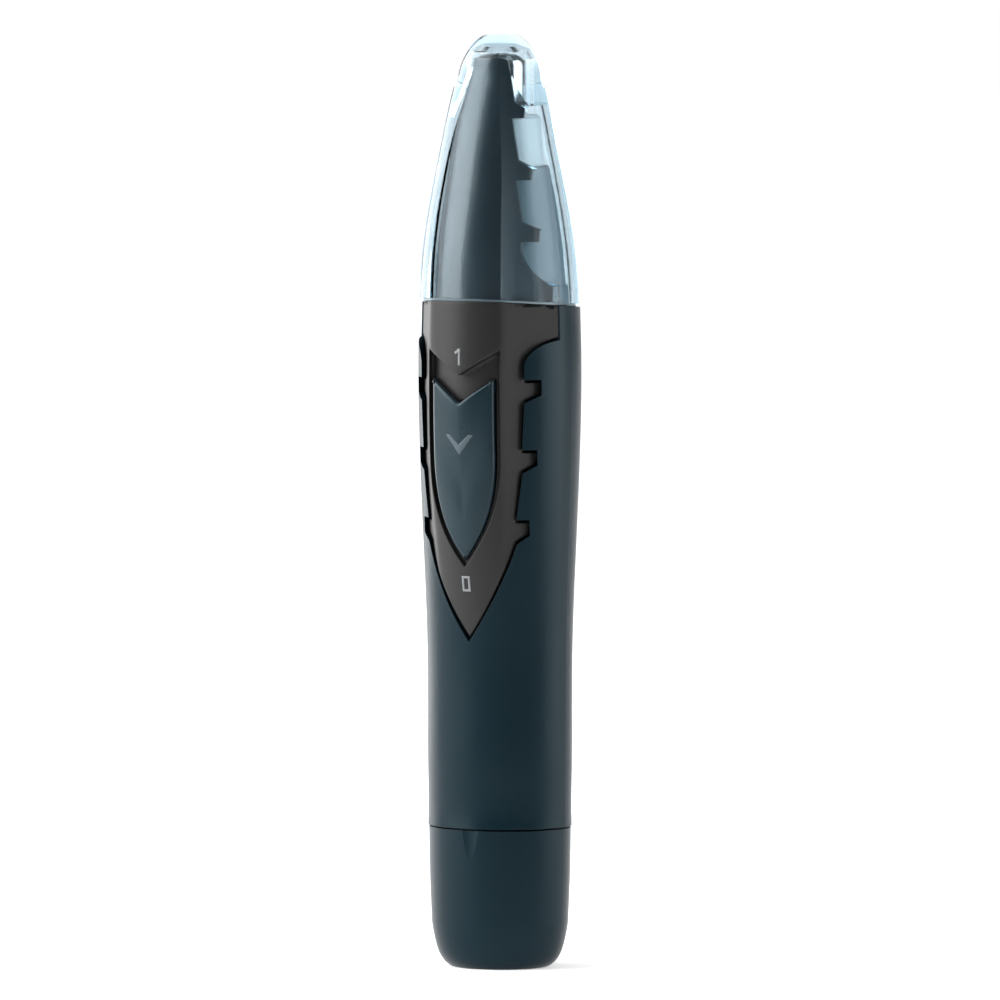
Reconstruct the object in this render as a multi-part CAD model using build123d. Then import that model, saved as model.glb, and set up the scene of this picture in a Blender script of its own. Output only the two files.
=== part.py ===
"""Nose hair trimmer: a pen-shaped, battery-powered trimmer that stands on its battery cap.

Frame: millimetres, +Z up, the front (switch side) faces -Y, the origin is the centre of the flat base.
From the base up: battery cap, handle with the black switch panel and its slider, a lift-off cutter
head, and a clear pull-off cap with a dark panel set into its front.
"""
import math
import os

from build123d import *

# ---------------------------------------------------------------- driving dimensions
HANDLE_BOTTOM = 21.35      # bottom edge of the handle shell
HEAD_SEAM = 99.7           # height of the tilted top edge of the handle, on the axis
SEAM_SLOPE = 0.08          # the top edge rises this much per millimetre towards the front
SEAM_GAP = 0.4             # shadow gap between the handle and the clear cap

CELL_RADIUS = 7.25         # AA cell
CELL_BOTTOM = 5.6
CELL_LENGTH = 50.4
BORE_RADIUS = 7.5          # battery bore in the handle
BULKHEAD = (56.6, 59.8)    # wall between the battery and the motor
CAVITY_RADIUS = 8.7        # motor cavity and head socket
SPIGOT_RADIUS = 8.6        # lower spigot of the handle, inside the battery cap
SPIGOT_BOTTOM = 14.0

SWITCH_TRAVEL = 3.6
SWITCH_SLOPE = 0.08        # the switch rises away from the axis as it slides up

MOTOR_RADIUS = 7.6
MOTOR_FLAT = 5.8           # half the width across the motor's flats
MOTOR_BOTTOM = 61.9
MOTOR_TOP = 81.9

TUBE_RADIUS = 4.0          # steel guard tube
TUBE_WALL = 0.4
TUBE_BOTTOM = 118.0
TUBE_TOP = 137.3
NOZZLE_TOP = 120.5         # top of the nozzle, where the tube's collar starts
CLEAR_WALL = 1.5           # clear plastic of the cap
INSERT_THICKNESS = 0.5     # dark panel in the cap's front

# Outer ovals: height, half width, front reach, back reach
HANDLE_OVALS = [
    (21.35, 11.1, 9.75, 9.75),
    (30.0, 11.12, 9.75, 9.75),
    (39.0, 11.15, 9.75, 9.75),
    (48.0, 11.2, 9.85, 9.85),
    (57.0, 11.4, 10.45, 10.45),
    (66.0, 11.7, 11.2, 11.2),
    (75.0, 11.98, 11.85, 11.85),
    (84.0, 12.2, 12.2, 12.2),
    (93.0, 12.2, 12.35, 12.3),
    (102.0, 12.0, 12.3, 12.1),
]
BASE_OVALS = [
    (0.0, 7.2, 6.8, 6.8),
    (0.45, 8.1, 7.6, 7.6),
    (1.4, 8.95, 8.3, 8.3),
    (2.9, 9.65, 8.85, 8.85),
    (5.0, 10.2, 9.2, 9.2),
    (7.5, 10.52, 9.38, 9.38),
]
BATTERY_CAP_OVALS = [
    (7.5, 10.52, 9.38, 9.38),
    (12.0, 10.74, 9.5, 9.5),
    (16.5, 10.88, 9.57, 9.57),
    (21.1, 10.95, 9.6, 9.6),
]
CLEAR_CAP_OVALS = [
    (98.0, 12.08, 13.05, 12.15),
    (103.6, 11.8, 12.75, 11.85),
    (110.8, 11.05, 12.1, 11.15),
    (118.0, 9.85, 10.65, 10.05),
    (125.2, 8.5, 8.9, 8.8),
    (129.5, 7.65, 7.75, 8.05),
    (132.3, 7.0, 6.9, 7.5),
]
TIP_OVALS = [
    (132.3, 6.55, 6.45, 7.05),
    (134.3, 6.25, 6.05, 6.75),
    (136.2, 5.7, 5.4, 6.2),
    (137.7, 4.9, 4.55, 5.4),
    (138.8, 4.1, 3.7, 4.6),
    (139.7, 3.1, 2.7, 3.6),
    (140.1, 2.0, 1.6, 2.5),
]
# Switch panel surface: height, reach of the centre, half width of the front face (to the crease),
# reach of the crease, slope of the side faces, thickness measured front to back
PANEL_STATIONS = [
    (46.0, 9.50, 4.8, 8.70, 0.42, 1.00),
    (50.0, 9.60, 4.8, 8.80, 0.45, 1.00),
    (56.0, 10.35, 4.9, 9.20, 0.75, 1.25),
    (62.0, 11.35, 5.2, 9.95, 1.10, 1.60),
    (68.0, 12.15, 5.6, 10.50, 1.30, 1.90),
    (76.0, 12.95, 5.9, 11.10, 1.45, 2.20),
    (85.0, 13.35, 5.94, 11.45, 1.50, 2.30),
    (93.0, 13.25, 5.94, 11.40, 1.50, 2.30),
    (103.0, 12.95, 5.9, 11.10, 1.50, 2.30),
]
# Surface of the cap's dark panel, about 0.8 mm under the clear surface, in the same columns
INSERT_STATIONS = [
    (94.0, 12.35, 5.6, 10.70, 1.50, 0.0),
    (98.0, 12.25, 5.6, 10.55, 1.50, 0.0),
    (105.0, 11.90, 5.5, 10.20, 1.45, 0.0),
    (112.0, 11.15, 5.2, 9.45, 1.40, 0.0),
    (119.0, 9.65, 4.6, 8.20, 1.30, 0.0),
    (126.0, 7.80, 3.7, 6.80, 1.15, 0.0),
    (131.5, 6.00, 2.75, 5.35, 1.00, 0.0),
    (137.4, 4.15, 2.1, 3.70, 0.85, 0.0),
]
FLOOR_THICKNESS = 0.8      # panel left under the slider's recess
PANEL_REACH = 13.0         # half width of the solid that the panel is cut from

# Teeth on the panel's edges: top, bottom at the tip, bottom at the root, reach of root and tip
PANEL_TEETH = [
    (88.5, 86.8, 85.8, 8.3, 10.0),
    (78.0, 76.3, 75.3, 7.95, 9.5),
    (67.5, 65.8, 64.7, 7.05, 8.5),
]
# Teeth on the cap's dark panel: bottom, top at the tip, top at the root, reach of root and tip
INSERT_TEETH = [
    (109.4, 111.1, 112.4, 7.25, 8.9),
    (118.6, 120.2, 121.5, 6.1, 7.5),
    (127.8, 129.2, 130.2, 4.65, 5.8),
]

UP = (Align.CENTER, Align.CENTER, Align.MIN)


# ---------------------------------------------------------------- small helpers
def disc(radius, low, high):
    """A solid cylinder on the axis between two heights."""
    return Pos(0, 0, low) * Cylinder(radius, high - low, align=UP)


def ring(outer, inner, low, high):
    """A tube on the axis between two heights."""
    return disc(outer, low, high) - disc(inner, low - 1, high + 1)


def block(x, y, z):
    """A box from (low, high) pairs along X, Y and Z."""
    size = [high - low for low, high in (x, y, z)]
    centre = [(high + low) / 2 for low, high in (x, y, z)]
    return Pos(*centre) * Box(*size)


def revolved(points):
    """A solid turned about Z from (radius, height) points joined by straight lines."""
    outline = Polyline(*[(r, 0, z) for r, z in points], close=True)
    return revolve(make_face(outline), Axis.Z)


def oval_face(height, half_width, front, back):
    """Half an ellipse in front of the XZ plane joined to half an ellipse behind it."""
    rear = EllipticalCenterArc((0, 0), half_width, back, 0, arc_size=180)
    fore = EllipticalCenterArc((0, 0), half_width, front, 180, arc_size=180)
    return Pos(0, 0, height) * make_face([rear, fore])


def oval_solid(ovals, inset=0.0):
    """A solid lofted through ovals, all taken in by the same amount."""
    return loft([oval_face(z, w - inset, f - inset, b - inset) for z, w, f, b in ovals])


def above_seam(offset):
    """The half space above the tilted top edge of the handle, moved up by an offset."""
    plane = Plane(origin=(0, 0, HEAD_SEAM + offset), x_dir=(1, 0, 0), z_dir=(0, SEAM_SLOPE, 1))
    return plane * Box(80, 80, 80, align=UP)


def front_prism(outline, front=-20.0, back=-1.0):
    """A solid with a given outline, seen from the front, between two depths."""
    return Pos(0, back, 0) * extrude(outline, back - front, dir=(0, -1, 0))


def mirrored_face(right_half):
    """A face on the XZ plane from edges of its right half, drawn from the axis to the axis."""
    left_half = [edge.mirror(Plane.YZ) for edge in right_half]
    return make_face([*right_half, *left_half])


def one_solid(shape):
    """The largest solid of a shape."""
    return max(shape.solids(), key=lambda s: s.volume)


# ---------------------------------------------------------------- panel surface
def panel_section(height, centre, crease, crease_reach, slope, drop):
    """A section of the panel surface, lowered towards the axis by a drop."""
    edge_reach = crease_reach - slope * (PANEL_REACH - crease)
    face = ThreePointArc((-crease, drop - crease_reach), (0, drop - centre), (crease, drop - crease_reach))
    right = Line((crease, drop - crease_reach), (PANEL_REACH, drop - edge_reach))
    back = Line((PANEL_REACH, drop - edge_reach), (-PANEL_REACH, drop - edge_reach))
    left = Line((-PANEL_REACH, drop - edge_reach), (-crease, drop - crease_reach))
    return Pos(0, 0, height) * make_face([face, right, back, left])


def panel_surface(drop_of_thickness, stations=PANEL_STATIONS):
    """Everything behind the panel surface, lowered by a share of the local thickness."""
    sections = []
    for height, centre, crease, crease_reach, slope, thickness in stations:
        drop = drop_of_thickness(thickness)
        sections.append(panel_section(height, centre, crease, crease_reach, slope, drop))
    return loft(sections)


def behind(surface, back=0.0):
    """A panel surface solid, carried on back as far as a given depth."""
    box = surface.bounding_box()
    return surface + block((-PANEL_REACH, PANEL_REACH), (-3.0, back), (box.min.Z, box.max.Z))


def panel_outline(grow=0.0):
    """The panel seen from the front: a broad top, three teeth a side, and a pointed foot."""
    top = 104.0
    shoulder = 95.2
    edge = 11.6 + grow
    points = [(0, top), (edge, top), (edge, shoulder - grow)]
    edges = [Line((a[0], 0, a[1]), (b[0], 0, b[1])) for a, b in zip(points, points[1:])]
    first = PANEL_TEETH[0]
    neck = (first[3] + grow, 91.2)
    bend = (9.45 + grow, 0, 93.75 - grow * 0.7)
    edges.append(ThreePointArc((edge, 0, shoulder - grow), bend, (neck[0], 0, neck[1])))
    here = neck
    for tooth_top, tip_low, root_low, root, tip in PANEL_TEETH:
        corners = [
            (root + grow, tooth_top + grow),
            (tip + grow, tooth_top + grow),
            (tip + grow, tip_low - grow * 0.6),
            (root + grow, root_low - grow * 0.9),
        ]
        for corner in corners:
            edges.append(Line((here[0], 0, here[1]), (corner[0], 0, corner[1])))
            here = corner
    bend = (4.35 + grow * 0.9, 0, 57.5 - grow * 0.45)
    edges.append(ThreePointArc((here[0], 0, here[1]), bend, (0, 0, 50.2 - grow * 1.7)))
    return mirrored_face(edges)


def slot_outline(half_width, v_corner, v_point, straight_low, bend, foot):
    """The slider's recess, or the slider: a V at the top, straight sides and a pointed foot."""
    corner = (half_width, v_corner)
    edges = [
        Line((0, 0, v_point), (corner[0], 0, corner[1])),
        Line((corner[0], 0, corner[1]), (half_width, 0, straight_low)),
        Spline(
            (half_width, 0, straight_low),
            (bend[0], 0, bend[1]),
            (0, 0, foot),
            tangents=[(0, 0, -1), (-0.62, 0, -0.78)],
        ),
    ]
    return mirrored_face(edges)


def insert_outline(grow=0.0):
    """The cap's dark panel seen from the front: a broad foot, three teeth a side, a narrow top."""
    foot = 96.0
    shoulder = 102.6 + grow
    edge = 10.45 + grow
    points = [(0, foot), (edge, foot), (edge, shoulder)]
    edges = [Line((a[0], 0, a[1]), (b[0], 0, b[1])) for a, b in zip(points, points[1:])]
    first = INSERT_TEETH[0]
    neck = (first[3] + grow, 108.2)
    edges.append(ThreePointArc((edge, 0, shoulder), (8.35 + grow, 0, 105.1 + grow), (neck[0], 0, neck[1])))
    here = neck
    for tooth_low, tip_top, root_top, root, tip in INSERT_TEETH:
        corners = [
            (root + grow, tooth_low - grow),
            (tip + grow, tooth_low - grow),
            (tip + grow, tip_top + grow),
            (root - 0.1 + grow, root_top + grow),
        ]
        for corner in corners:
            edges.append(Line((here[0], 0, here[1]), (corner[0], 0, corner[1])))
            here = corner
    side, top = 3.1 + grow, 136.7 + grow
    edges.append(Line((here[0], 0, here[1]), (side, 0, top - 1.0)))
    edges.append(ThreePointArc((side, 0, top - 1.0), (side - 0.3, 0, top - 0.3), (side - 1.0, 0, top)))
    edges.append(Line((side - 1.0, 0, top), (0, 0, top)))
    return mirrored_face(edges)


# ---------------------------------------------------------------- handle
STEM_WIDTH = 4.0
STEM_LOW, STEM_HIGH = 76.5, 81.5
WINDOW = block((-2.3, 2.3), (-14.0, -5.0), (STEM_LOW - 0.35, STEM_HIGH + SWITCH_TRAVEL + 0.4))
STRIP_SLOT = block((-1.65, 1.65), (7.0, 7.76), (SPIGOT_BOTTOM - 1, 60.4))
LUG_LOW, LUG_HIGH = 15.0, 16.3
LUG_REACH = 9.45


def spigot_lugs():
    """Two bayonet lugs on the left and right of the lower spigot."""
    bar = block((-LUG_REACH, LUG_REACH), (-1.2, 1.2), (LUG_LOW, LUG_HIGH))
    return bar - disc(SPIGOT_RADIUS - 0.3, LUG_LOW - 1, LUG_HIGH + 1)


def handle_shell(core):
    """The long shell: spigot and battery bore below, motor cavity above, seat for the panel in front."""
    shell = oval_solid(HANDLE_OVALS) - above_seam(0)
    shell += disc(SPIGOT_RADIUS, SPIGOT_BOTTOM, HANDLE_BOTTOM + 1) + spigot_lugs()
    shell -= front_prism(panel_outline(0.4)) - core
    shell -= disc(BORE_RADIUS, SPIGOT_BOTTOM - 1, BULKHEAD[0])
    shell -= disc(CAVITY_RADIUS, BULKHEAD[1], 110)
    shell -= disc(1.95, BULKHEAD[0] - 1, BULKHEAD[1] + 1)
    shell -= ring(SPIGOT_RADIUS + 1, 8.1, 17.6, 18.4)
    shell -= STRIP_SLOT
    shell -= WINDOW
    return one_solid(shell)


def switch_panel(outer, core, floor):
    """The black front panel: a raised face with a recess for the slider and toothed sides."""
    recess = slot_outline(5.94, 93.4, 89.65, 77.5, (4.05, 67.4), 60.9)
    panel = outer & front_prism(panel_outline())
    panel -= core
    panel -= above_seam(0)
    panel -= front_prism(recess) - floor
    panel -= WINDOW
    return one_solid(panel)


def switch_slider(outer, floor_clear):
    """The sliding button, with a V notch on top, a pointed foot and a stem through the window."""
    outline = slot_outline(5.12, 89.05, 85.5, 77.8, (3.5, 67.6), 61.75)
    button = (outer & front_prism(outline)) - floor_clear
    stem = block((-STEM_WIDTH / 2, STEM_WIDTH / 2), (-12.2, -7.5), (STEM_LOW, STEM_HIGH))
    dish = Pos(0, -27.3, 76.5) * Rotation(0, 90, 0) * Cylinder(14.6, 7.4)
    return one_solid(button + stem - dish)


def switch_carriage():
    """The plate inside the shell that the stem is clipped to."""
    plate = block((-3.6, 3.6), (-7.5, -6.65), (74.5, 86.5))
    return plate - block((-2.6, 2.6), (-6.9, -6.0), (83.4, 85.6))


def switch_bridge():
    """The moving brass contact, with a nib over each fixed contact."""
    bar = block((-3.3, 3.3), (-6.65, -6.4), (83.6, 85.4))
    for side in (-1, 1):
        bar += Pos(side * 2.5, -6.4, 84.5) * Rotation(90, 0, 0) * Cylinder(0.6, 0.4)
    return bar


def bent_strip(outline, low, high):
    """A bent metal strip: an outline of (y, z) points carried along X between two limits."""
    edge = Polyline(*[(low, y, z) for y, z in outline], close=True)
    return extrude(make_face(edge), high - low, dir=(1, 0, 0))


def contact_reach(height):
    """Front face of the fixed contacts, which lean forward with the switch's slope."""
    return -6.15 - SWITCH_SLOPE * (height - 85.1)


def battery_lead():
    """Brass strip from the positive contact, up past the motor, to the left fixed contact."""
    top = contact_reach(91.5)
    run = bent_strip(
        [(-6.15, 60.0), (-6.15, 85.1), (top, 91.5), (top + 0.25, 91.5), (-5.9, 85.1), (-5.9, 60.0)],
        -3.4, -1.6,
    )
    return run + block((-3.4, 1.2), (-6.15, 1.2), (60.0, 60.25))


def motor_lead():
    """Brass strip from the right fixed contact, stepped back behind the bridge, to the motor."""
    foot, top = contact_reach(86.4), contact_reach(91.5)
    return bent_strip(
        [(foot, 86.4), (top, 91.5), (top + 0.25, 91.5), (foot + 0.25, 86.65), (-4.95, 86.65),
         (-4.95, 82.2), (-5.9, 82.2), (-5.9, 60.95), (-3.6, 60.95), (-3.6, 60.7), (-6.15, 60.7),
         (-6.15, 82.45), (-5.2, 82.45), (-5.2, 86.4)],
        1.6, 3.4,
    )


def negative_strip():
    """Brass strip in the back wall of the battery bore, bent over under the motor."""
    low = SPIGOT_BOTTOM + 0.05
    return bent_strip(
        [(7.45, low), (7.7, low), (7.7, 60.95), (3.4, 60.95), (3.4, 60.7), (7.45, 60.7)],
        -1.5, 1.5,
    )


def positive_contact():
    """Sprung plate over the cell's nub, riveted through the bulkhead."""
    plate = disc(5.2, 56.05, 56.55)
    return plate + disc(1.9, 56.5, 60.0)


def motor_chassis():
    """Plastic frame that holds the motor in the cavity, open in front for the switch."""
    frame = ring(CAVITY_RADIUS - 0.1, MOTOR_RADIUS + 0.1, 60.2, 92.0)
    frame += ring(CAVITY_RADIUS - 0.2, 3.15, MOTOR_TOP + 0.1, MOTOR_TOP + 1.3)
    for side in (-1, 1):
        frame += block((side * 5 - 3, side * 5 + 3), (-5.8, -4.6), (MOTOR_TOP + 0.1, 92.0)) & disc(
            CAVITY_RADIUS - 0.2, 60, 92
        )
    frame -= block((-5.0, 5.0), (-12.0, -5.85), (60, 93))
    frame -= block((1.4, 3.6), (-6.0, -4.8), (60, 93))
    frame -= block((-3.6, -1.4), (-6.0, -5.8), (60, 93))
    frame -= block((-1.7, 1.7), (7.0, 9.0), (60, 61.2))
    return one_solid(frame)


# ---------------------------------------------------------------- motor
def flatted(radius, flat, low, high):
    """A cylinder with a flat in front and behind."""
    return disc(radius, low, high) & block((-20, 20), (-flat, flat), (low, high))


def motor_can():
    """Drawn steel can with two flats, open below, with a bearing boss on top."""
    can = flatted(MOTOR_RADIUS, MOTOR_FLAT, MOTOR_BOTTOM, MOTOR_TOP)
    can -= flatted(MOTOR_RADIUS - 0.5, MOTOR_FLAT - 0.5, MOTOR_BOTTOM - 1, MOTOR_TOP - 0.6)
    can += disc(3.0, MOTOR_TOP - 0.6, MOTOR_TOP + 1.0)
    return can - disc(1.05, MOTOR_TOP - 2, MOTOR_TOP + 2)


def motor_end_cap():
    """Plastic end cap with the lower bearing and holes for the terminals."""
    cap = flatted(MOTOR_RADIUS, MOTOR_FLAT, 61.3, MOTOR_BOTTOM)
    cap += flatted(MOTOR_RADIUS - 0.55, MOTOR_FLAT - 0.55, MOTOR_BOTTOM - 0.1, 63.6)
    cap -= disc(1.05, 60, 65)
    for x, y in ((0, 4.4), (2.5, -4.4)):
        cap -= block((x - 1.7, x + 1.7), (y - 0.3, y + 0.3), (60, 65))
    return cap


def motor_terminals():
    """Two brass tabs through the end cap, one meeting each lead."""
    rear = block((-1.6, 1.6), (4.15, 4.65), (60.95, 64.6))
    fore = block((0.9, 3.4), (-4.65, -4.15), (60.95, 64.6))
    return Compound([rear, fore])


def motor_magnets():
    """Two arc magnets inside the can, left and right."""
    arc = ring(MOTOR_RADIUS - 0.55, 5.4, 65.2, 79.5)
    arc &= block((-20, 20), (-4.6, 4.6), (60, 90))
    return Compound(arc.solids())


def motor_armature():
    """Wound armature: a slotted core with a winding on each end."""
    core = disc(4.9, 67.0, 77.5)
    for index in range(3):
        slot = block((1.6, 6.0), (-0.45, 0.45), (66, 78))
        core -= Rotation(0, 0, 120 * index) * slot
    core += disc(3.9, 65.9, 67.0) + disc(3.9, 77.5, 78.8)
    return one_solid(core - disc(1.0, 60, 90))


def motor_commutator():
    """Copper commutator drum on the shaft under the armature."""
    return ring(1.9, 1.0, 63.9, 65.9)


# ---------------------------------------------------------------- cutter head
def drive_coupling():
    """Plastic coupling pressed on the motor shaft, with a cross slot for the spindle's tang."""
    drum = disc(2.6, 84.6, 94.0) - disc(1.0, 84, 89.0)
    drum -= disc(1.4, 89.4, 95)
    return drum - block((-2.1, 2.1), (-0.55, 0.55), (89.4, 95))


def cutter_spindle():
    """Long steel spindle from the coupling to the blade, with a flat tang at its foot."""
    rod = disc(1.2, 90.0, 129.2)
    return rod + (block((-1.95, 1.95), (-0.4, 0.4), (90.0, 92.6)) & disc(1.95, 90, 93))


def head_nozzle(insert_clear):
    """The head's body: socket spigot, flange in the seam, collar for the cap, and a tapering nose."""
    nose = revolved(
        [(0, 94.6), (8.55, 94.6), (8.55, 101.0), (9.85, 102.6), (9.4, 108.0), (8.55, 114.0),
         (7.4, 120.2), (7.15, NOZZLE_TOP), (0, NOZZLE_TOP)]
    )
    collar = oval_solid(CLEAR_CAP_OVALS[:3], CLEAR_WALL + 0.2) & disc(20, 98, 102.6) & insert_clear
    flange = oval_solid(CLEAR_CAP_OVALS[:3], 0.65) - above_seam(SEAM_GAP - 0.05)
    body = nose + ((collar + flange) & above_seam(0.03))
    body -= ring(12, 8.05, 96.1, 96.9)
    hollow = revolved([(0, 90), (7.4, 90), (7.4, 98.5), (6.6, 103), (5.0, 108.5), (3.0, 112), (0, 112)])
    body -= hollow
    body -= disc(1.6, 110, 124)
    body -= disc(3.0, 111, 116.0)
    body -= disc(TUBE_RADIUS - TUBE_WALL - 0.2, 115.9, 124)
    return one_solid(body - disc(TUBE_RADIUS + 0.02, TUBE_BOTTOM, 124))


def tube_retainer():
    """Tapered pale collar on the nozzle that holds the guard tube."""
    bore, low = TUBE_RADIUS + 0.03, NOZZLE_TOP + 0.02
    return revolved([(bore, low), (6.7, low), (6.05, 127.6), (5.7, 128.1), (bore, 128.1)])


def dome(radius, low, high, flat):
    """A turned cylinder with an elliptical shoulder up to a small flat top."""
    shoulder = 2.0
    outline = [
        Line((0, 0, low), (radius, 0, low)),
        Line((radius, 0, low), (radius, 0, high - shoulder)),
        Spline((radius, 0, high - shoulder), (radius * 0.86, 0, high - 0.72), (flat, 0, high),
               tangents=[(0, 0, 1), (-1, 0, 0.1)]),
        Line((flat, 0, high), (0, 0, high)),
        Line((0, 0, high), (0, 0, low)),
    ]
    return revolve(make_face(outline), Axis.Z)


def cutter_tube():
    """Steel guard tube with a domed end and ten radial hair slots."""
    tube = dome(TUBE_RADIUS, TUBE_BOTTOM, TUBE_TOP, 1.2)
    tube -= dome(TUBE_RADIUS - TUBE_WALL, TUBE_BOTTOM - 1, TUBE_TOP - TUBE_WALL, 1.1)
    for index in range(10):
        slot = block((1.3, 6.0), (-0.28, 0.28), (132.6, 140))
        tube -= Rotation(0, 0, 36 * index) * slot
    return one_solid(tube)


def cutter_blade():
    """Two-winged rotary blade that sweeps inside the guard tube."""
    reach = TUBE_RADIUS - TUBE_WALL - 0.15
    wing = dome(reach, 129.2, TUBE_TOP - TUBE_WALL - 0.15, 1.0) & block((-6, 6), (-0.25, 0.25), (120, 140))
    notch = block((-1.0, 1.0), (-1, 1), (133.2, 140))
    return one_solid(wing - notch)


def blade_hub():
    """Plastic hub that carries the blade on the spindle."""
    hub = disc(2.6, 127.0, 131.0) - disc(1.2, 126, 129.2)
    return hub - (block((-4, 4), (-0.25, 0.25), (129.2, 132)))


def blade_spring():
    """Compression spring that keeps the blade against the guard."""
    pitch, height, radius, wire = 2.2, 10.4, 2.0, 0.22
    path = Pos(0, 0, 116.25) * Helix(pitch, height, radius)
    start = path @ 0
    section = Plane(origin=start, z_dir=path % 0) * Circle(wire)
    return sweep(section, path=path)


def o_ring(centre_radius, height, section):
    """A rubber O-ring about the axis."""
    return Pos(0, 0, height) * Torus(centre_radius, section)


# ---------------------------------------------------------------- clear cap
def clear_cap(insert_pocket):
    """The transparent pull-off cap, with a stepped tip and a pocket for the dark panel."""
    cap = (oval_solid(CLEAR_CAP_OVALS) & above_seam(SEAM_GAP)) + oval_solid(TIP_OVALS)
    cap -= oval_solid(CLEAR_CAP_OVALS, CLEAR_WALL) & disc(20, 90, 129.5)
    bore = revolved([(0, 128), (4.7, 128), (4.7, 136.4), (4.1, 137.5), (2.6, 138.2), (0, 138.4)])
    return one_solid(cap - bore - insert_pocket)


def insert_surface(drop, back=0.0):
    """Everything behind the surface of the cap's dark panel, lowered by a drop."""
    return behind(panel_surface(lambda thickness: drop, INSERT_STATIONS), back)


def cap_panel():
    """The thin dark panel in the cap's front, with a soft crease on each side."""
    layer = insert_surface(0.0) - insert_surface(INSERT_THICKNESS)
    layer &= front_prism(insert_outline(), back=-1.4)
    return one_solid(layer & above_seam(SEAM_GAP))


# ---------------------------------------------------------------- battery and its cap
def flute(side):
    """A shallow scoop in the front or back of the battery cap, deeper towards the base."""
    lean = 2.6
    scoop = Cylinder(6.0, 60, align=(Align.CENTER, Align.CENTER, Align.CENTER))
    return Pos(0, side * 15.45, 19.5) * Rotation(side * lean, 0, 0) * scoop


def battery_cap():
    """The lower cap: rounded base, bayonet channels inside, a scoop front and back."""
    cap = oval_solid(BASE_OVALS) + oval_solid(BATTERY_CAP_OVALS)
    cap -= disc(7.6, 2.0, 22)
    cap -= disc(SPIGOT_RADIUS + 0.15, 13.8, 22)
    for turn in (0, 180):
        channel = Rotation(0, 0, turn - 9) * extrude(
            make_face(
                [
                    CenterArc((0, 0), LUG_REACH + 0.25, 0, 53),
                    Line((0, 0), (LUG_REACH + 0.25, 0)),
                    Line((0, 0), ((LUG_REACH + 0.25) * math.cos(math.radians(53)),
                                  (LUG_REACH + 0.25) * math.sin(math.radians(53)))),
                ]
            ),
            6.6,
        )
        cap -= Pos(0, 0, 14.6) * channel
    for side in (-1, 1):
        cap -= flute(side)
    return one_solid(cap)


def battery_spring():
    """Tapering negative spring on the cap's contact plate."""
    path = Pos(0, 0, 2.62) * Helix(0.95, 2.75, 5.0, cone_angle=-28)
    section = Plane(origin=path @ 0, z_dir=path % 0) * Circle(0.2)
    return sweep(section, path=path)


def negative_plate():
    """Contact plate on the cap's floor, with a tongue up the back wall."""
    plate = disc(6.6, 2.0, 2.35) + block((-1.5, 1.5), (5.5, 7.5), (2.0, 2.35))
    tongue = block((-1.5, 1.5), (7.28, 7.42), (2.0, 13.7))
    return plate + tongue


def battery_cell():
    """AA cell: can and nub."""
    top = CELL_BOTTOM + CELL_LENGTH
    can = disc(CELL_RADIUS - 0.1, CELL_BOTTOM, top - 1.6)
    can = fillet(can.edges().filter_by(GeomType.CIRCLE), 0.5)
    return can + disc(2.7, top - 1.7, top)


def battery_sleeve():
    """Printed film around the cell."""
    return ring(CELL_RADIUS, CELL_RADIUS - 0.1, CELL_BOTTOM + 0.6, CELL_BOTTOM + CELL_LENGTH - 2.3)


# ---------------------------------------------------------------- write everything
def main():
    outer = panel_surface(lambda thickness: 0.0)
    core = behind(panel_surface(lambda thickness: thickness))
    floor = behind(panel_surface(lambda thickness: thickness - FLOOR_THICKNESS))
    floor_clear = behind(panel_surface(lambda thickness: thickness - FLOOR_THICKNESS - 0.28))
    insert_pocket = insert_surface(-0.03) & front_prism(insert_outline(0.05), back=-1.3)
    insert_clear = insert_surface(INSERT_THICKNESS + 0.25, 20.0)

    nodes = {
        "handle_shell": handle_shell(core),
        "switch_panel": switch_panel(outer, core, floor),
        "switch_slider": switch_slider(outer, floor_clear),
        "switch_carriage": switch_carriage(),
        "switch_bridge": switch_bridge(),
        "battery_lead": battery_lead(),
        "motor_lead": motor_lead(),
        "negative_strip": negative_strip(),
        "positive_contact": positive_contact(),
        "motor_chassis": motor_chassis(),
        "motor_can": motor_can(),
        "motor_end_cap": motor_end_cap(),
        "motor_terminals": motor_terminals(),
        "motor_magnets": motor_magnets(),
        "motor_armature": motor_armature(),
        "motor_commutator": motor_commutator(),
        "motor_shaft": disc(1.0, 61.5, 89.0),
        "drive_coupling": drive_coupling(),
        "cutter_spindle": cutter_spindle(),
        "head_nozzle": head_nozzle(insert_clear),
        "head_seal": o_ring(8.33, 96.5, 0.27),
        "tube_retainer": tube_retainer(),
        "spindle_bush": ring(2.95, 1.25, 112.2, 115.8),
        "cutter_tube": cutter_tube(),
        "cutter_blade": cutter_blade(),
        "blade_hub": blade_hub(),
        "blade_spring": blade_spring(),
        "clear_cap": clear_cap(insert_pocket),
        "cap_panel": cap_panel(),
        "battery_cap": battery_cap(),
        "battery_cap_seal": o_ring(8.38, 18.0, 0.26),
        "battery_spring": battery_spring(),
        "negative_plate": negative_plate(),
        "battery_cell": battery_cell(),
        "battery_sleeve": battery_sleeve(),
    }
    os.makedirs("parts", exist_ok=True)
    for name, shape in nodes.items():
        export_step(shape, f"parts/{name}.step")


main()
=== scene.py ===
"""Look of the nose hair trimmer: fine meshes for the outside pieces, finishes for the rest, studio."""
import math

import bmesh
import bpy
import numpy as np
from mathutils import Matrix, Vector
from mathutils.geometry import delaunay_2d_cdt


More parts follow.
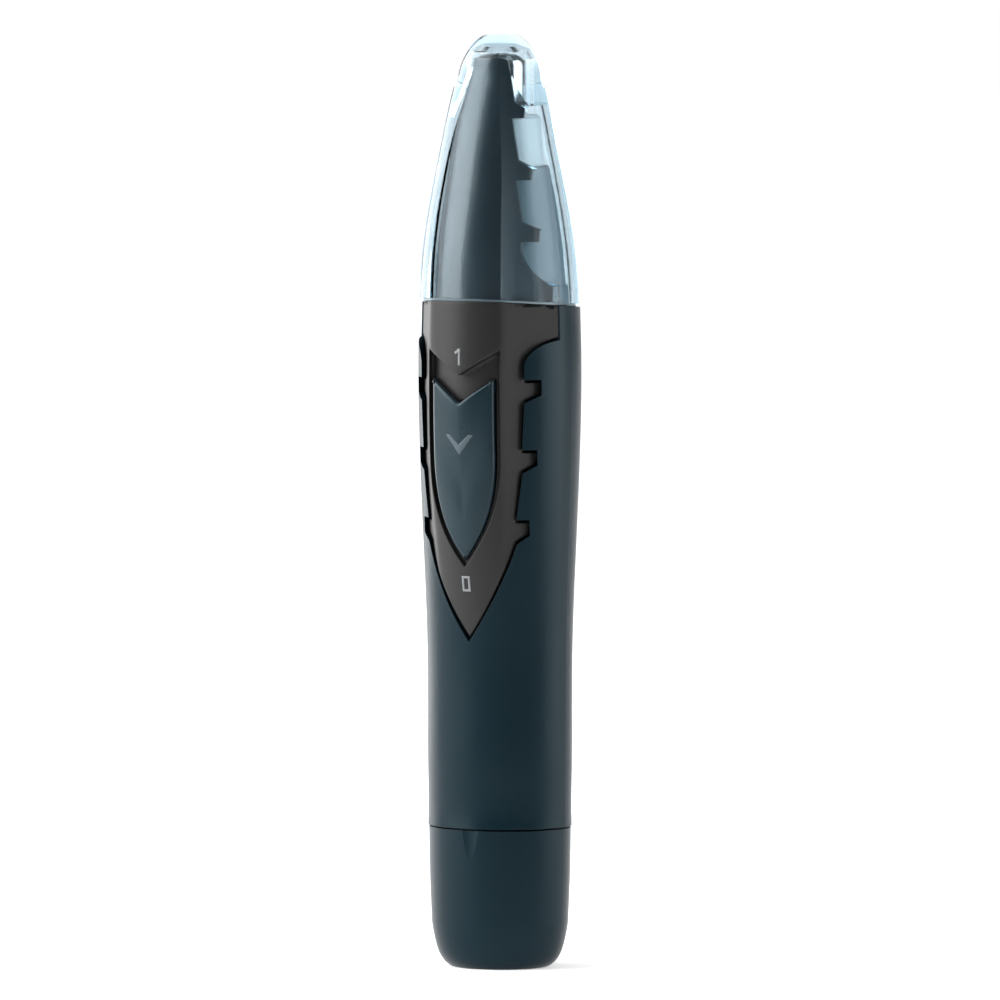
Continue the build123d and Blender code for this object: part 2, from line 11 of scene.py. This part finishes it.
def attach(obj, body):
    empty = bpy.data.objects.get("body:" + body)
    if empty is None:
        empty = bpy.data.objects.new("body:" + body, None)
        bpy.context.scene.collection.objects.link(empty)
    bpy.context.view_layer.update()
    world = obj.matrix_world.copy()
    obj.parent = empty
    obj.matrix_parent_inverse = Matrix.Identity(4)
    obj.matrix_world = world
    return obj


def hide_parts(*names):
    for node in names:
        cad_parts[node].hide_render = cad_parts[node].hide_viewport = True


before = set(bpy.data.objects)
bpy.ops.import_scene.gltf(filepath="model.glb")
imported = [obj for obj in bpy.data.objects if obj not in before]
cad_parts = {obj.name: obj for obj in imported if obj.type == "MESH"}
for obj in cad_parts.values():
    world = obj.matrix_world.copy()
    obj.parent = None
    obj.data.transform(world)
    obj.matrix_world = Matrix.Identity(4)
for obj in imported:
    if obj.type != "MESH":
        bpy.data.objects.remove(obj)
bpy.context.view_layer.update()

MM = 0.001

# ---------------------------------------------------------------- dimensions, in millimetres
SEAM_HEIGHT, SEAM_SLOPE = 99.7, 0.08      # tilted seam between the handle and the clear cap

# height, reach of the centre, crease, reach of the crease, slope of the sides, thickness
PANEL = [
    (46.0, 9.50, 4.8, 8.70, 0.42, 1.00), (50.0, 9.60, 4.8, 8.80, 0.45, 1.00),
    (56.0, 10.35, 4.9, 9.20, 0.75, 1.25), (62.0, 11.35, 5.2, 9.95, 1.10, 1.60),
    (68.0, 12.15, 5.6, 10.50, 1.30, 1.90), (76.0, 12.95, 5.9, 11.10, 1.45, 2.20),
    (85.0, 13.35, 5.94, 11.45, 1.50, 2.30), (93.0, 13.25, 5.94, 11.40, 1.50, 2.30),
    (103.0, 12.95, 5.9, 11.10, 1.50, 2.30),
]
# top of the tip, foot of the tip, foot of the root, reach of the root, reach of the tip
PANEL_TEETH = [
    (88.5, 86.8, 85.8, 8.3, 10.0), (78.0, 76.3, 75.3, 7.95, 9.5), (67.5, 65.8, 64.7, 7.05, 8.5),
]
FLOOR_THICKNESS = 0.8                     # plastic left under the slider's recess
SLIDER_GAP = 0.28                         # between the slider and that floor
BACK_GAP = 0.03                           # between the panel and the handle
PANEL_BEVEL, RECESS_BEVEL, SLIDER_BEVEL = 0.22, 0.2, 0.5


# ---------------------------------------------------------------- materials
def srgb(value):
    """Linear colour from a hex sRGB string."""
    parts = [int(value[i:i + 2], 16) / 255 for i in (0, 2, 4)]
    return [c / 12.92 if c <= 0.04045 else ((c + 0.055) / 1.055) ** 2.4 for c in parts] + [1.0]


def material(name, **sockets):
    """A Principled material with its uniform values set on the sockets."""
    mat = bpy.data.materials.new(name)
    mat.use_nodes = True
    shader = mat.node_tree.nodes["Principled BSDF"]
    for key, value in sockets.items():
        shader.inputs[key.replace("_", " ")].default_value = value
    return mat, shader


def edge_softness(mat, shader, radius, bump=None):
    """Rounded highlights on hard edges, with an optional bump under them."""
    tree = mat.node_tree
    bevel = tree.nodes.new("ShaderNodeBevel")
    bevel.samples = 6
    bevel.inputs["Radius"].default_value = radius * MM
    if bump:
        tree.links.new(bump.outputs["Normal"], bevel.inputs["Normal"])
    tree.links.new(bevel.outputs["Normal"], shader.inputs["Normal"])


def noise(mat, scale, detail=3.0, stretch=(1, 1, 1)):
    """Noise in object coordinates; the scale is per metre."""
    tree = mat.node_tree
    coords = tree.nodes.new("ShaderNodeTexCoord")
    mapping = tree.nodes.new("ShaderNodeMapping")
    mapping.inputs["Scale"].default_value = stretch
    texture = tree.nodes.new("ShaderNodeTexNoise")
    texture.inputs["Scale"].default_value = scale
    texture.inputs["Detail"].default_value = detail
    tree.links.new(coords.outputs["Object"], mapping.inputs["Vector"])
    tree.links.new(mapping.outputs["Vector"], texture.inputs["Vector"])
    return texture


def between(mat, texture, low, high, socket):
    """Drives a socket from a texture, between two values."""
    tree = mat.node_tree
    span = tree.nodes.new("ShaderNodeMapRange")
    span.inputs["From Min"].default_value = 0.2
    span.inputs["From Max"].default_value = 0.8
    span.inputs["To Min"].default_value = low
    span.inputs["To Max"].default_value = high
    tree.links.new(texture.outputs["Fac"], span.inputs["Value"])
    tree.links.new(span.outputs["Result"], socket)


def mottled(mat, shader, texture, colour, spread):
    """Base colour that varies a little round one value."""
    tree = mat.node_tree
    ramp = tree.nodes.new("ShaderNodeValToRGB")
    ramp.color_ramp.elements[0].position = 0.15
    ramp.color_ramp.elements[1].position = 0.85
    ramp.color_ramp.elements[0].color = [c * (1 - spread) for c in colour[:3]] + [1]
    ramp.color_ramp.elements[1].color = [c * (1 + spread) for c in colour[:3]] + [1]
    tree.links.new(texture.outputs["Fac"], ramp.inputs["Fac"])
    tree.links.new(ramp.outputs["Color"], shader.inputs["Base Color"])


def plastic(name, colour, rough, grain=0.0, edge=0.12, coat=0.0, spread=0.06, **sockets):
    """Moulded plastic with a faint mottle, a slightly uneven gloss and soft edges."""
    mat, shader = material(name, Roughness=rough, Coat_Weight=coat, Coat_Roughness=0.12, **sockets)
    cloud = noise(mat, 90.0)
    mottled(mat, shader, cloud, srgb(colour), spread)
    between(mat, cloud, rough * 0.92, rough * 1.08, shader.inputs["Roughness"])
    bump = None
    if grain:
        speckle = noise(mat, 9000.0, 2.0)
        bump = mat.node_tree.nodes.new("ShaderNodeBump")
        bump.inputs["Strength"].default_value = grain
        bump.inputs["Distance"].default_value = 0.02 * MM
        mat.node_tree.links.new(speckle.outputs["Fac"], bump.inputs["Height"])
    edge_softness(mat, shader, edge, bump)
    return mat


def metal(name, colour, rough, stretch=(1, 1, 1), edge=0.05):
    """Metal with fine drawn streaks."""
    mat, shader = material(name, Metallic=1.0, Roughness=rough)
    streak = noise(mat, 2500.0, 4.0, stretch)
    mottled(mat, shader, streak, srgb(colour), 0.08)
    between(mat, streak, rough * 0.8, rough * 1.25, shader.inputs["Roughness"])
    edge_softness(mat, shader, edge)
    return mat


def clear_plastic(name, colour):
    """Transparent moulded plastic with a pale blue tint and a glossy skin."""
    mat, shader = material(
        name, Base_Color=srgb(colour), Roughness=0.03, Transmission_Weight=1.0, IOR=1.13,
        Coat_Weight=0.2, Coat_Roughness=0.08, Coat_IOR=1.4,
    )
    haze = noise(mat, 60.0)
    between(mat, haze, 0.02, 0.05, shader.inputs["Roughness"])
    tint = mat.node_tree.nodes.new("ShaderNodeVolumeAbsorption")
    tint.inputs["Color"].default_value = (0.68, 0.79, 0.84, 1.0)
    tint.inputs["Density"].default_value = 250.0
    output = mat.node_tree.nodes["Material Output"]
    mat.node_tree.links.new(tint.outputs["Volume"], output.inputs["Volume"])
    return mat


FINISH = {
    "teal": plastic(
        "teal_satin", "081a22", 0.34, grain=0.10, edge=0.15, spread=0.03,
        Specular_IOR_Level=0.16, Specular_Tint=(0.68, 0.92, 1.0, 1.0),
    ),
    "black": plastic("panel_black", "1a1a1a", 0.45, grain=0.05, edge=0.12, Specular_IOR_Level=0.32),
    "button": plastic(
        "button_teal", "0c1e26", 0.28, grain=0.04, edge=0.15, spread=0.03,
        Specular_IOR_Level=0.36, Specular_Tint=(0.75, 0.94, 1.0, 1.0),
    ),
    "clear": clear_plastic("clear_blue", "eef6fa"),
    "insert": plastic("insert_teal", "14272f", 0.34, edge=0.10, spread=0.03, Specular_IOR_Level=0.9),
    "grey": plastic("head_grey", "70828a", 0.42, grain=0.05),
    "ring": plastic("collar_pale", "d6dfe2", 0.35),
    "white": plastic("moulded_white", "d8d8d2", 0.45),
    "print": plastic("print_grey", "75797b", 0.5, edge=0.01),
    "mark": plastic("mark_teal", "3d4b53", 0.5, edge=0.01),
    "steel": metal("bright_steel", "c9ccce", 0.22, (1, 1, 0.05)),
    "brass": metal("contact_brass", "c9a860", 0.30, (1, 1, 0.05)),
    "copper": metal("winding_copper", "b06a3a", 0.35, (1, 1, 6)),
    "magnet": plastic("ferrite", "2a2b2d", 0.6, grain=0.3),
    "rubber": plastic("seal_rubber", "141414", 0.65, grain=0.2),
    "film": plastic("cell_film", "30556a", 0.35),
}

NODE_FINISH = {
    "handle_shell": "teal", "battery_cap": "teal", "switch_panel": "black", "switch_slider": "button",
    "clear_cap": "clear", "cap_panel": "insert", "head_nozzle": "grey", "tube_retainer": "ring",
    "cutter_tube": "steel", "cutter_blade": "steel", "cutter_spindle": "steel", "blade_spring": "steel",
    "motor_can": "steel", "motor_shaft": "steel", "battery_spring": "steel", "battery_cell": "steel",
    "battery_sleeve": "film", "battery_lead": "brass", "motor_lead": "brass", "negative_strip": "brass",
    "positive_contact": "brass", "negative_plate": "brass", "switch_bridge": "brass",
    "motor_terminals": "brass", "spindle_bush": "brass", "motor_armature": "copper",
    "motor_commutator": "copper", "motor_magnets": "magnet", "motor_chassis": "white",
    "motor_end_cap": "white", "drive_coupling": "white", "blade_hub": "white",
    "switch_carriage": "white", "head_seal": "rubber", "battery_cap_seal": "rubber",
}
for node, finish in NODE_FINISH.items():
    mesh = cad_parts[node].data
    mesh.materials.clear()
    mesh.materials.append(FINISH[finish])


# ---------------------------------------------------------------- curves and surfaces
def column(table, index):
    """A smooth curve through one column of a table against height: a natural cubic spline."""
    z = np.array([row[0] for row in table])
    v = np.array([row[index] for row in table])
    count, h = len(z), np.diff(z)
    system, right = np.eye(count), np.zeros(count)
    for i in range(1, count - 1):
        system[i, i - 1:i + 2] = h[i - 1], 2 * (h[i - 1] + h[i]), h[i]
        right[i] = 6 * ((v[i + 1] - v[i]) / h[i] - (v[i] - v[i - 1]) / h[i - 1])
    bend = np.linalg.solve(system, right)

    def curve(height):
        height = np.clip(height, z[0], z[-1])
        i = np.clip(np.searchsorted(z, height) - 1, 0, count - 2)
        t = height - z[i]
        slope = (v[i + 1] - v[i]) / h[i] - h[i] * (2 * bend[i] + bend[i + 1]) / 6
        return v[i] + t * slope + t ** 2 * bend[i] / 2 + t ** 3 * (bend[i + 1] - bend[i]) / (6 * h[i])

    return curve


def creased(table, soft=0.05):
    """How far forward a creased front surface reaches, as a function of x and z."""
    centre, crease, crease_reach, slope = (column(table, i) for i in range(1, 5))

    def reach(x, z):
        x, c, r = np.abs(x), crease(z), crease_reach(z)
        face = centre(z) - (centre(z) - r) * (x / c) ** 2
        flank = r - slope(z) * (x - c)
        return (face + flank) / 2 - np.sqrt((face - flank) ** 2 / 4 + soft ** 2) + soft * 0.6

    return reach


def straight(points, spacing=0.3):
    """Points along straight lines, the last point left out."""
    steps = []
    for a, b in zip(points, points[1:]):
        a, b = np.array(a, float), np.array(b, float)
        count = max(1, int(round(np.linalg.norm(b - a) / spacing)))
        steps += [a + (b - a) * i / count for i in range(count)]
    return steps


def bent(start, middle, end, spacing=0.3):
    """Points along the arc through three points, the last point left out."""
    (ax, ay), (bx, by), (cx, cy) = start, middle, end
    d = 2 * (ax * (by - cy) + bx * (cy - ay) + cx * (ay - by))
    a2, b2, c2 = ax * ax + ay * ay, bx * bx + by * by, cx * cx + cy * cy
    centre = np.array([
        (a2 * (by - cy) + b2 * (cy - ay) + c2 * (ay - by)) / d,
        (a2 * (cx - bx) + b2 * (ax - cx) + c2 * (bx - ax)) / d,
    ])
    radius = math.hypot(ax - centre[0], ay - centre[1])
    first = math.atan2(ay - centre[1], ax - centre[0])
    half = math.atan2(by - centre[1], bx - centre[0])
    last = math.atan2(cy - centre[1], cx - centre[0])
    turn = (last - first) % (2 * math.pi)
    if (half - first) % (2 * math.pi) > turn:
        turn -= 2 * math.pi
    count = max(3, int(abs(turn) * radius / spacing))
    angles = first + turn * np.arange(count) / count
    return [centre + radius * np.array([math.cos(t), math.sin(t)]) for t in angles]


def mirrored(right_half):
    """A closed loop, anticlockwise from the front, from its right half given bottom to top."""
    right = [np.array(p, float) for p in right_half]
    left = [np.array([-p[0], p[1]]) for p in reversed(right) if p[0] > 1e-6]
    return np.array(right + left)


def inset(loop, distance):
    """An anticlockwise loop moved inwards by a distance, with mitred corners."""
    before = loop - np.roll(loop, 1, 0)
    after = np.roll(loop, -1, 0) - loop
    normals = []
    for step in (before, after):
        normal = np.stack([-step[:, 1], step[:, 0]], 1)
        normals.append(normal / np.linalg.norm(normal, axis=1, keepdims=True))
    middle = normals[0] + normals[1]
    middle /= np.linalg.norm(middle, axis=1, keepdims=True)
    stretch = 1 / np.clip((middle * normals[0]).sum(1), 0.6, 1)
    return loop + middle * stretch[:, None] * distance


def inside(loop, points):
    """Which points lie inside a loop."""
    x, y = points[:, 0:1], points[:, 1:2]
    a, b = loop, np.roll(loop, -1, 0)
    span = (a[:, 1] > y) != (b[:, 1] > y)
    rise = np.where(b[:, 1] == a[:, 1], 1e-12, b[:, 1] - a[:, 1])
    return ((x < (b[:, 0] - a[:, 0]) * (y - a[:, 1]) / rise + a[:, 0]) & span).sum(1) % 2 == 1


def new_object(name, verts, faces, finish, body):
    """A mesh object in metres from points in millimetres, riding on a body."""
    mesh = bpy.data.meshes.new(name)
    mesh.from_pydata([tuple(v) for v in np.asarray(verts) * MM], [], faces)
    work = bmesh.new()
    work.from_mesh(mesh)
    bmesh.ops.remove_doubles(work, verts=work.verts, dist=1e-7)
    bmesh.ops.recalc_face_normals(work, faces=work.faces)
    work.to_mesh(mesh)
    work.free()
    mesh.shade_smooth()
    obj = bpy.data.objects.new(name, mesh)
    bpy.context.scene.collection.objects.link(obj)
    obj.data.materials.append(FINISH[finish])
    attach(obj, body)
    return obj


class Shell:
    """Points and faces of one piece, built from loops that are seen from the front."""

    def __init__(self, lift):
        self.lift = lift        # turns x, z and a depth below the front surface into points
        self.verts, self.faces = [], []

    def band(self, rings):
        """A wall through loops with the same number of points; each loop has its own depth."""
        starts = []
        for ring, depth in rings:
            starts.append(len(self.verts))
            self.verts.extend(self.lift(ring[:, 0], ring[:, 1], depth(ring[:, 1])))
        count = len(rings[0][0])
        for low, high in zip(starts, starts[1:]):
            for i in range(count):
                j = (i + 1) % count
                self.faces.append((low + i, low + j, high + j, high + i))
        return (rings[0][0], starts[0]), (rings[-1][0], starts[-1])

    def rounded(self, loop, depth, bevel, inwards=1, steps=5):
        """A wall up to the front surface with a rounded edge."""
        rings = [(loop, depth)]
        for angle in np.linspace(0, math.pi / 2, steps):
            down = bevel * (1 - math.sin(angle))
            ring = inset(loop, inwards * bevel * (1 - math.cos(angle)))
            rings.append((ring, constant(down)))
        return self.band(rings)

    def fill(self, borders, depth, spacing=0.45):
        """A surface inside the first loop and outside the others."""
        edge_points = np.vstack([ring for ring, _ in borders])
        low, high = edge_points.min(0), edge_points.max(0)
        columns, rows = (np.arange(low[i], high[i], spacing) for i in (0, 1))
        grid = np.stack(np.meshgrid(columns, rows), -1).reshape(-1, 2)
        keep = inside(borders[0][0], grid)
        for ring, _ in borders[1:]:
            keep &= ~inside(ring, grid)
        grid = grid[keep]
        gap = np.min(np.linalg.norm(grid[:, None] - edge_points[None], axis=2), axis=1)
        grid = grid[gap > 0.55 * spacing]
        chains, owner = [], []
        for ring, start in borders:
            base = len(owner)
            chains += [(base + i, base + (i + 1) % len(ring)) for i in range(len(ring))]
            owner += range(start, start + len(ring))
        owner += range(len(self.verts), len(self.verts) + len(grid))
        self.verts.extend(self.lift(grid[:, 0], grid[:, 1], depth(grid[:, 1])))
        flat = [Vector(p) for p in np.vstack([edge_points, grid])]
        points, _, triangles, origin, _, _ = delaunay_2d_cdt(flat, chains, [], 0, 1e-5)
        matched = []
        for point, sources in zip(points, origin):
            if sources:
                matched.append(owner[sources[0]])
            else:
                matched.append(len(self.verts))
                x, z = np.array([point[0]]), np.array([point[1]])
                self.verts.extend(self.lift(x, z, depth(z)))
        middles = np.array([np.mean([points[i] for i in t], axis=0) for t in triangles])
        good = inside(borders[0][0], middles)
        for ring, _ in borders[1:]:
            good &= ~inside(ring, middles)
        self.faces += [tuple(matched[i] for i in t) for t, wanted in zip(triangles, good) if wanted]


def constant(value):
    """A depth that is the same at every height."""
    return lambda z: np.full(np.shape(z), float(value))


def weighted(obj):
    """Flat faces stay flat next to their rounded edges."""
    modifier = obj.modifiers.new("weighted", "WEIGHTED_NORMAL")
    modifier.keep_sharp = True
    modifier.weight = 80


# ---------------------------------------------------------------- switch panel and slider
panel_reach = creased(PANEL)
panel_thickness = column(PANEL, 5)


def seam_top(x):
    """Height of the handle's top edge along the panel."""
    return SEAM_HEIGHT + SEAM_SLOPE * panel_reach(x, SEAM_HEIGHT)


def panel_loop():
    """The panel's outline seen from the front, from its foot to the seam."""
    edge, shoulder = 11.6, 95.2
    first_root = PANEL_TEETH[0][3]
    right = bent((0, 50.2), (4.35, 57.5), (PANEL_TEETH[-1][3], PANEL_TEETH[-1][2]))
    for i, (top, tip_low, root_low, root, tip) in reversed(list(enumerate(PANEL_TEETH))):
        above = (PANEL_TEETH[i - 1][3], PANEL_TEETH[i - 1][2]) if i else (first_root, 91.2)
        right += straight([(root, root_low), (tip, tip_low), (tip, top), (root, top), above])
    right += bent((first_root, 91.2), (9.45, 93.75), (edge, shoulder))
    right += straight([(edge, shoulder), (edge, float(seam_top(edge)))])
    across = np.linspace(edge, 0, 40)
    right += list(zip(across, seam_top(across)))
    return mirrored(right)


def eased(start, middle, end, leave, arrive, count=40):
    """Points on a smooth curve through three points with given end directions, the last left out."""
    p = [np.array(v, float) for v in (start, middle, end)]
    m = [np.array(v, float) / np.linalg.norm(v) for v in (leave, arrive)]
    h = [np.linalg.norm(p[1] - p[0]), np.linalg.norm(p[2] - p[1])]
    pull = 3 * ((p[1] - p[0]) / h[0] ** 2 + (p[2] - p[1]) / h[1] ** 2) - m[0] / h[0] - m[1] / h[1]
    slopes = [m[0], pull / (2 / h[0] + 2 / h[1]), m[1]]
    points = []
    for i in range(2):
        for t in np.arange(0, 1, 1 / count):
            ends = (2 * t ** 3 - 3 * t ** 2 + 1) * p[i] + (3 * t ** 2 - 2 * t ** 3) * p[i + 1]
            out = (t ** 3 - 2 * t ** 2 + t) * slopes[i] + (t ** 3 - t ** 2) * slopes[i + 1]
            points.append(ends + h[i] * out)
    return points


def slot_loop(half, corner, point, straight_low, bend, foot):
    """The slider's recess, or the slider: a pointed foot, straight sides and a V at the top."""
    right = eased((0, foot), bend, (half, straight_low), (0.62, 0.78), (0, 1))
    right += straight([(half, straight_low), (half, corner), (0, point)])
    return mirrored(right + [(0, point)])


def on_panel(x, z, depth):
    """Points on the panel's surface, or under it."""
    return np.stack([x, -(panel_reach(x, z) - depth), z], 1)


def rectangle(half_width, low, high, spacing=0.5):
    """A dense upright rectangle on the centre line."""
    corners = [(-half_width, low), (half_width, low), (half_width, high), (-half_width, high)]
    return np.array(straight(corners + corners[:1], spacing))


def panel_back(z):
    """Depth of the panel's back face, with a hair of clearance."""
    return panel_thickness(z) - BACK_GAP


def recess_floor(z):
    """Depth of the floor of the slider's recess."""
    return panel_thickness(z) - FLOOR_THICKNESS


def slider_back(z):
    """Depth of the back of the slider, just over the floor."""
    return panel_thickness(z) - FLOOR_THICKNESS - SLIDER_GAP


def slider_front(x, z, depth):
    """The slider's face: a shallow V-shaped dish in a surface just under the panel's."""
    along = np.clip((z - DISH_LOW - DISH_V * np.abs(x)) / DISH_LENGTH, 0, 1)
    across = np.clip(1 - (x / DISH_HALF_WIDTH) ** 2, 0, 1)
    dish = DISH_DEPTH * np.sin(math.pi * along) ** 2 * across ** 1.5
    fade = np.clip(1 - depth / 0.6, 0, 1)
    return np.stack([x, -(panel_reach(x, z) - depth - 0.03 - dish * fade), z], 1)


DISH_LOW, DISH_LENGTH, DISH_V = 66.5, 15.0, 0.9
DISH_HALF_WIDTH, DISH_DEPTH = 4.5, 0.42
STEM_HALF_WIDTH, STEM_LOW, STEM_HIGH, STEM_END = 2.0, 76.5, 81.5, 7.5
WINDOW_HALF_WIDTH, WINDOW_LOW, WINDOW_HIGH = 2.3, 76.15, 85.5

recess = slot_loop(5.94, 93.4, 89.65, 77.5, (4.05, 67.4), 60.9)
window = rectangle(WINDOW_HALF_WIDTH, WINDOW_LOW, WINDOW_HIGH)
shell = Shell(on_panel)
rear, front = shell.rounded(panel_loop(), panel_back, PANEL_BEVEL)
pocket, lip = shell.rounded(recess, recess_floor, RECESS_BEVEL, inwards=-1)
window_rear, window_front = shell.band([(window, panel_back), (window, recess_floor)])
shell.fill([front, lip], constant(0))
shell.fill([pocket, window_front], recess_floor)
shell.fill([rear, window_rear], panel_back, 0.8)
panel = new_object("panel_face", shell.verts, shell.faces, "black", "handle")
weighted(panel)
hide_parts("switch_panel")

shell = Shell(slider_front)
stem = rectangle(STEM_HALF_WIDTH, STEM_LOW, STEM_HIGH)
outline = slot_loop(5.12, 89.05, 85.5, 77.8, (3.5, 67.6), 61.75)
rear, front = shell.rounded(outline, slider_back, SLIDER_BEVEL, steps=7)
stem_end, stem_root = shell.band([
    (stem, lambda z: panel_reach(np.full(len(z), STEM_HALF_WIDTH), z) - STEM_END), (stem, slider_back),
])
shell.fill([front], constant(0), 0.35)
shell.fill([rear, stem_root], slider_back)
shell.fill([stem_end], lambda z: panel_reach(np.zeros(len(z)), z) - STEM_END)
slider = new_object("slider_button", shell.verts, shell.faces, "button", "switch")
weighted(slider)
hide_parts("switch_slider")


# ---------------------------------------------------------------- printed marks
def printed(name, surface, outer, holes, finish, body):
    """A thin print lying on a surface."""
    shell = Shell(lambda x, z, depth: surface(x, z, depth - PRINT_THICKNESS))
    borders = []
    for loop in [outer] + holes:
        loop = np.array(straight(list(loop) + [loop[0]], 0.15))
        borders.append(shell.band([(loop, constant(PRINT_THICKNESS)), (loop, constant(0))])[1])
    shell.fill(borders, constant(0), 0.2)
    return new_object(name, shell.verts, shell.faces, finish, body)


PRINT_THICKNESS = 0.015
digit_one = np.array([
    (0.0, 0.0), (0.38, 0.0), (0.38, 2.5), (0.05, 2.5), (-0.62, 1.95), (-0.42, 1.62), (0.0, 1.95),
])
printed("mark_one", on_panel, digit_one + (-0.05, 91.15), [], "print", "handle")
zero, zero_hole = rectangle(0.68, 57.1, 59.45), rectangle(0.34, 57.45, 59.1)
printed("mark_zero", on_panel, zero, [zero_hole], "print", "handle")
chevron = np.array([(0.0, 77.7), (2.3, 80.75), (1.6, 80.75), (0.0, 79.3), (-1.6, 80.75), (-2.3, 80.75)])
printed("mark_chevron", slider_front, chevron, [], "mark", "switch")


# ---------------------------------------------------------------- studio
def camera(azimuth, elevation, distance, target, width):
    """A long-lens camera that sees the given width at the target."""
    data = bpy.data.cameras.new("camera")
    data.sensor_width = 36.0
    data.lens = 36.0 * distance / width
    data.clip_end = 20.0
    obj = bpy.data.objects.new("camera", data)
    bpy.context.scene.collection.objects.link(obj)
    a, e = math.radians(azimuth), math.radians(elevation)
    back = Vector((math.sin(a) * math.cos(e), -math.cos(a) * math.cos(e), math.sin(e)))
    obj.location = Vector(target) + back * distance
    obj.rotation_mode = "QUATERNION"
    obj.rotation_quaternion = (-back).to_track_quat("-Z", "Y")
    bpy.context.scene.camera = obj


def softbox(name, azimuth, elevation, distance, size, radiance, target=(0, 0, 0.07)):
    """An area light aimed at the object; radiance 1 is the white of the glow behind it."""
    data = bpy.data.lights.new(name, "AREA")
    data.shape = "RECTANGLE"
    data.size, data.size_y = size
    data.energy = radiance * math.pi * size[0] * size[1]
    obj = bpy.data.objects.new(name, data)
    bpy.context.scene.collection.objects.link(obj)
    a, e = math.radians(azimuth), math.radians(elevation)
    back = Vector((math.sin(a) * math.cos(e), -math.cos(a) * math.cos(e), math.sin(e)))
    obj.location = Vector(target) + back * distance
    obj.rotation_mode = "QUATERNION"
    obj.rotation_quaternion = (-back).to_track_quat("-Z", "Y")


def sheet_of(name, corners, mat):
    """A flat stage piece with four corners."""
    mesh = bpy.data.meshes.new(name)
    mesh.from_pydata(corners, [], [(0, 1, 2, 3)])
    obj = bpy.data.objects.new(name, mesh)
    bpy.context.scene.collection.objects.link(obj)
    mesh.materials.append(mat)


def pool(mat, shader, centre, near, far, bright, dim):
    """A soft pool of light on the floor: the glow fades from near to far round a centre."""
    tree = mat.node_tree
    coords = tree.nodes.new("ShaderNodeTexCoord")
    distance = tree.nodes.new("ShaderNodeVectorMath")
    distance.operation = "DISTANCE"
    distance.inputs[1].default_value = centre
    span = tree.nodes.new("ShaderNodeMapRange")
    span.interpolation_type = "SMOOTHSTEP"
    for key, value in (("From Min", near), ("From Max", far), ("To Min", bright), ("To Max", dim)):
        span.inputs[key].default_value = value
    tree.links.new(coords.outputs["Object"], distance.inputs[0])
    tree.links.new(distance.outputs["Value"], span.inputs["Value"])
    tree.links.new(span.outputs["Result"], shader.inputs["Emission Strength"])


def studio_white(name):
    """Matt white that can glow."""
    mat, shader = material(name, Roughness=0.7, Emission_Color=(1, 1, 1, 1))
    mottled(mat, shader, noise(mat, 4.0), srgb("f4f4f4"), 0.01)
    return mat, shader


def surroundings(towards, near, far, bright, dim):
    """A dim white room with a wide glow in one direction, between two angles from it."""
    world = bpy.data.worlds.new("studio")
    world.use_nodes = True
    tree = world.node_tree
    coords = tree.nodes.new("ShaderNodeTexCoord")
    facing = tree.nodes.new("ShaderNodeVectorMath")
    facing.operation = "DOT_PRODUCT"
    facing.inputs[1].default_value = towards
    span = tree.nodes.new("ShaderNodeMapRange")
    span.interpolation_type = "SMOOTHSTEP"
    edges = (math.cos(math.radians(far)), math.cos(math.radians(near)))
    for key, value in (("From Min", edges[0]), ("From Max", edges[1]), ("To Min", dim), ("To Max", bright)):
        span.inputs[key].default_value = value
    tree.links.new(coords.outputs["Generated"], facing.inputs[0])
    tree.links.new(facing.outputs["Value"], span.inputs["Value"])
    tree.nodes["Background"].inputs["Color"].default_value = (1, 1, 1, 1)
    tree.links.new(span.outputs["Result"], tree.nodes["Background"].inputs["Strength"])
    bpy.context.scene.world = world


CAMERA_AZIMUTH, CAMERA_ELEVATION = 28.0, 3.85
CAMERA_DISTANCE, CAMERA_TARGET, VIEW_WIDTH = 2.2, (0.0, 0.0, 0.0702), 0.1502     # in metres
camera(CAMERA_AZIMUTH, CAMERA_ELEVATION, CAMERA_DISTANCE, CAMERA_TARGET, VIEW_WIDTH)
turn = math.radians(CAMERA_AZIMUTH)
away = Vector((-math.sin(turn), math.cos(turn), 0))
FLOOR_SIZE = 3.0                          # half the side of the floor, in metres
GLOW_CENTRE, GLOW_REACH = 2.6, (1.9, 3.1)  # bright floor behind the object, in metres
FLOOR_GLOW_DIM, ROOM_DIM = 0.06, 0.12
GLOW_ANGLES = (24, 34)                    # bright part of the room behind the object, in degrees
floor_white, floor_shader = studio_white("floor_white")
pool(floor_white, floor_shader, away * GLOW_CENTRE, *GLOW_REACH, 1.0, FLOOR_GLOW_DIM)
corners = [(x * FLOOR_SIZE, y * FLOOR_SIZE, 0) for x, y in ((-1, -1), (1, -1), (1, 1), (-1, 1))]
sheet_of("floor", corners, floor_white)
# name, azimuth, elevation, distance, size, radiance
softbox("left", -108, 8, 0.6, (0.36, 0.7), 3.6)
softbox("key", -50, 30, 0.7, (0.66, 0.80), 6.0)
softbox("right", 112, 10, 0.6, (0.46, 0.8), 4.2)
softbox("top", 28, 84, 0.9, (0.6, 0.6), 1.5)
surroundings(away, *GLOW_ANGLES, 1.0, ROOM_DIM)
bpy.context.scene.view_settings.view_transform = "Standard"
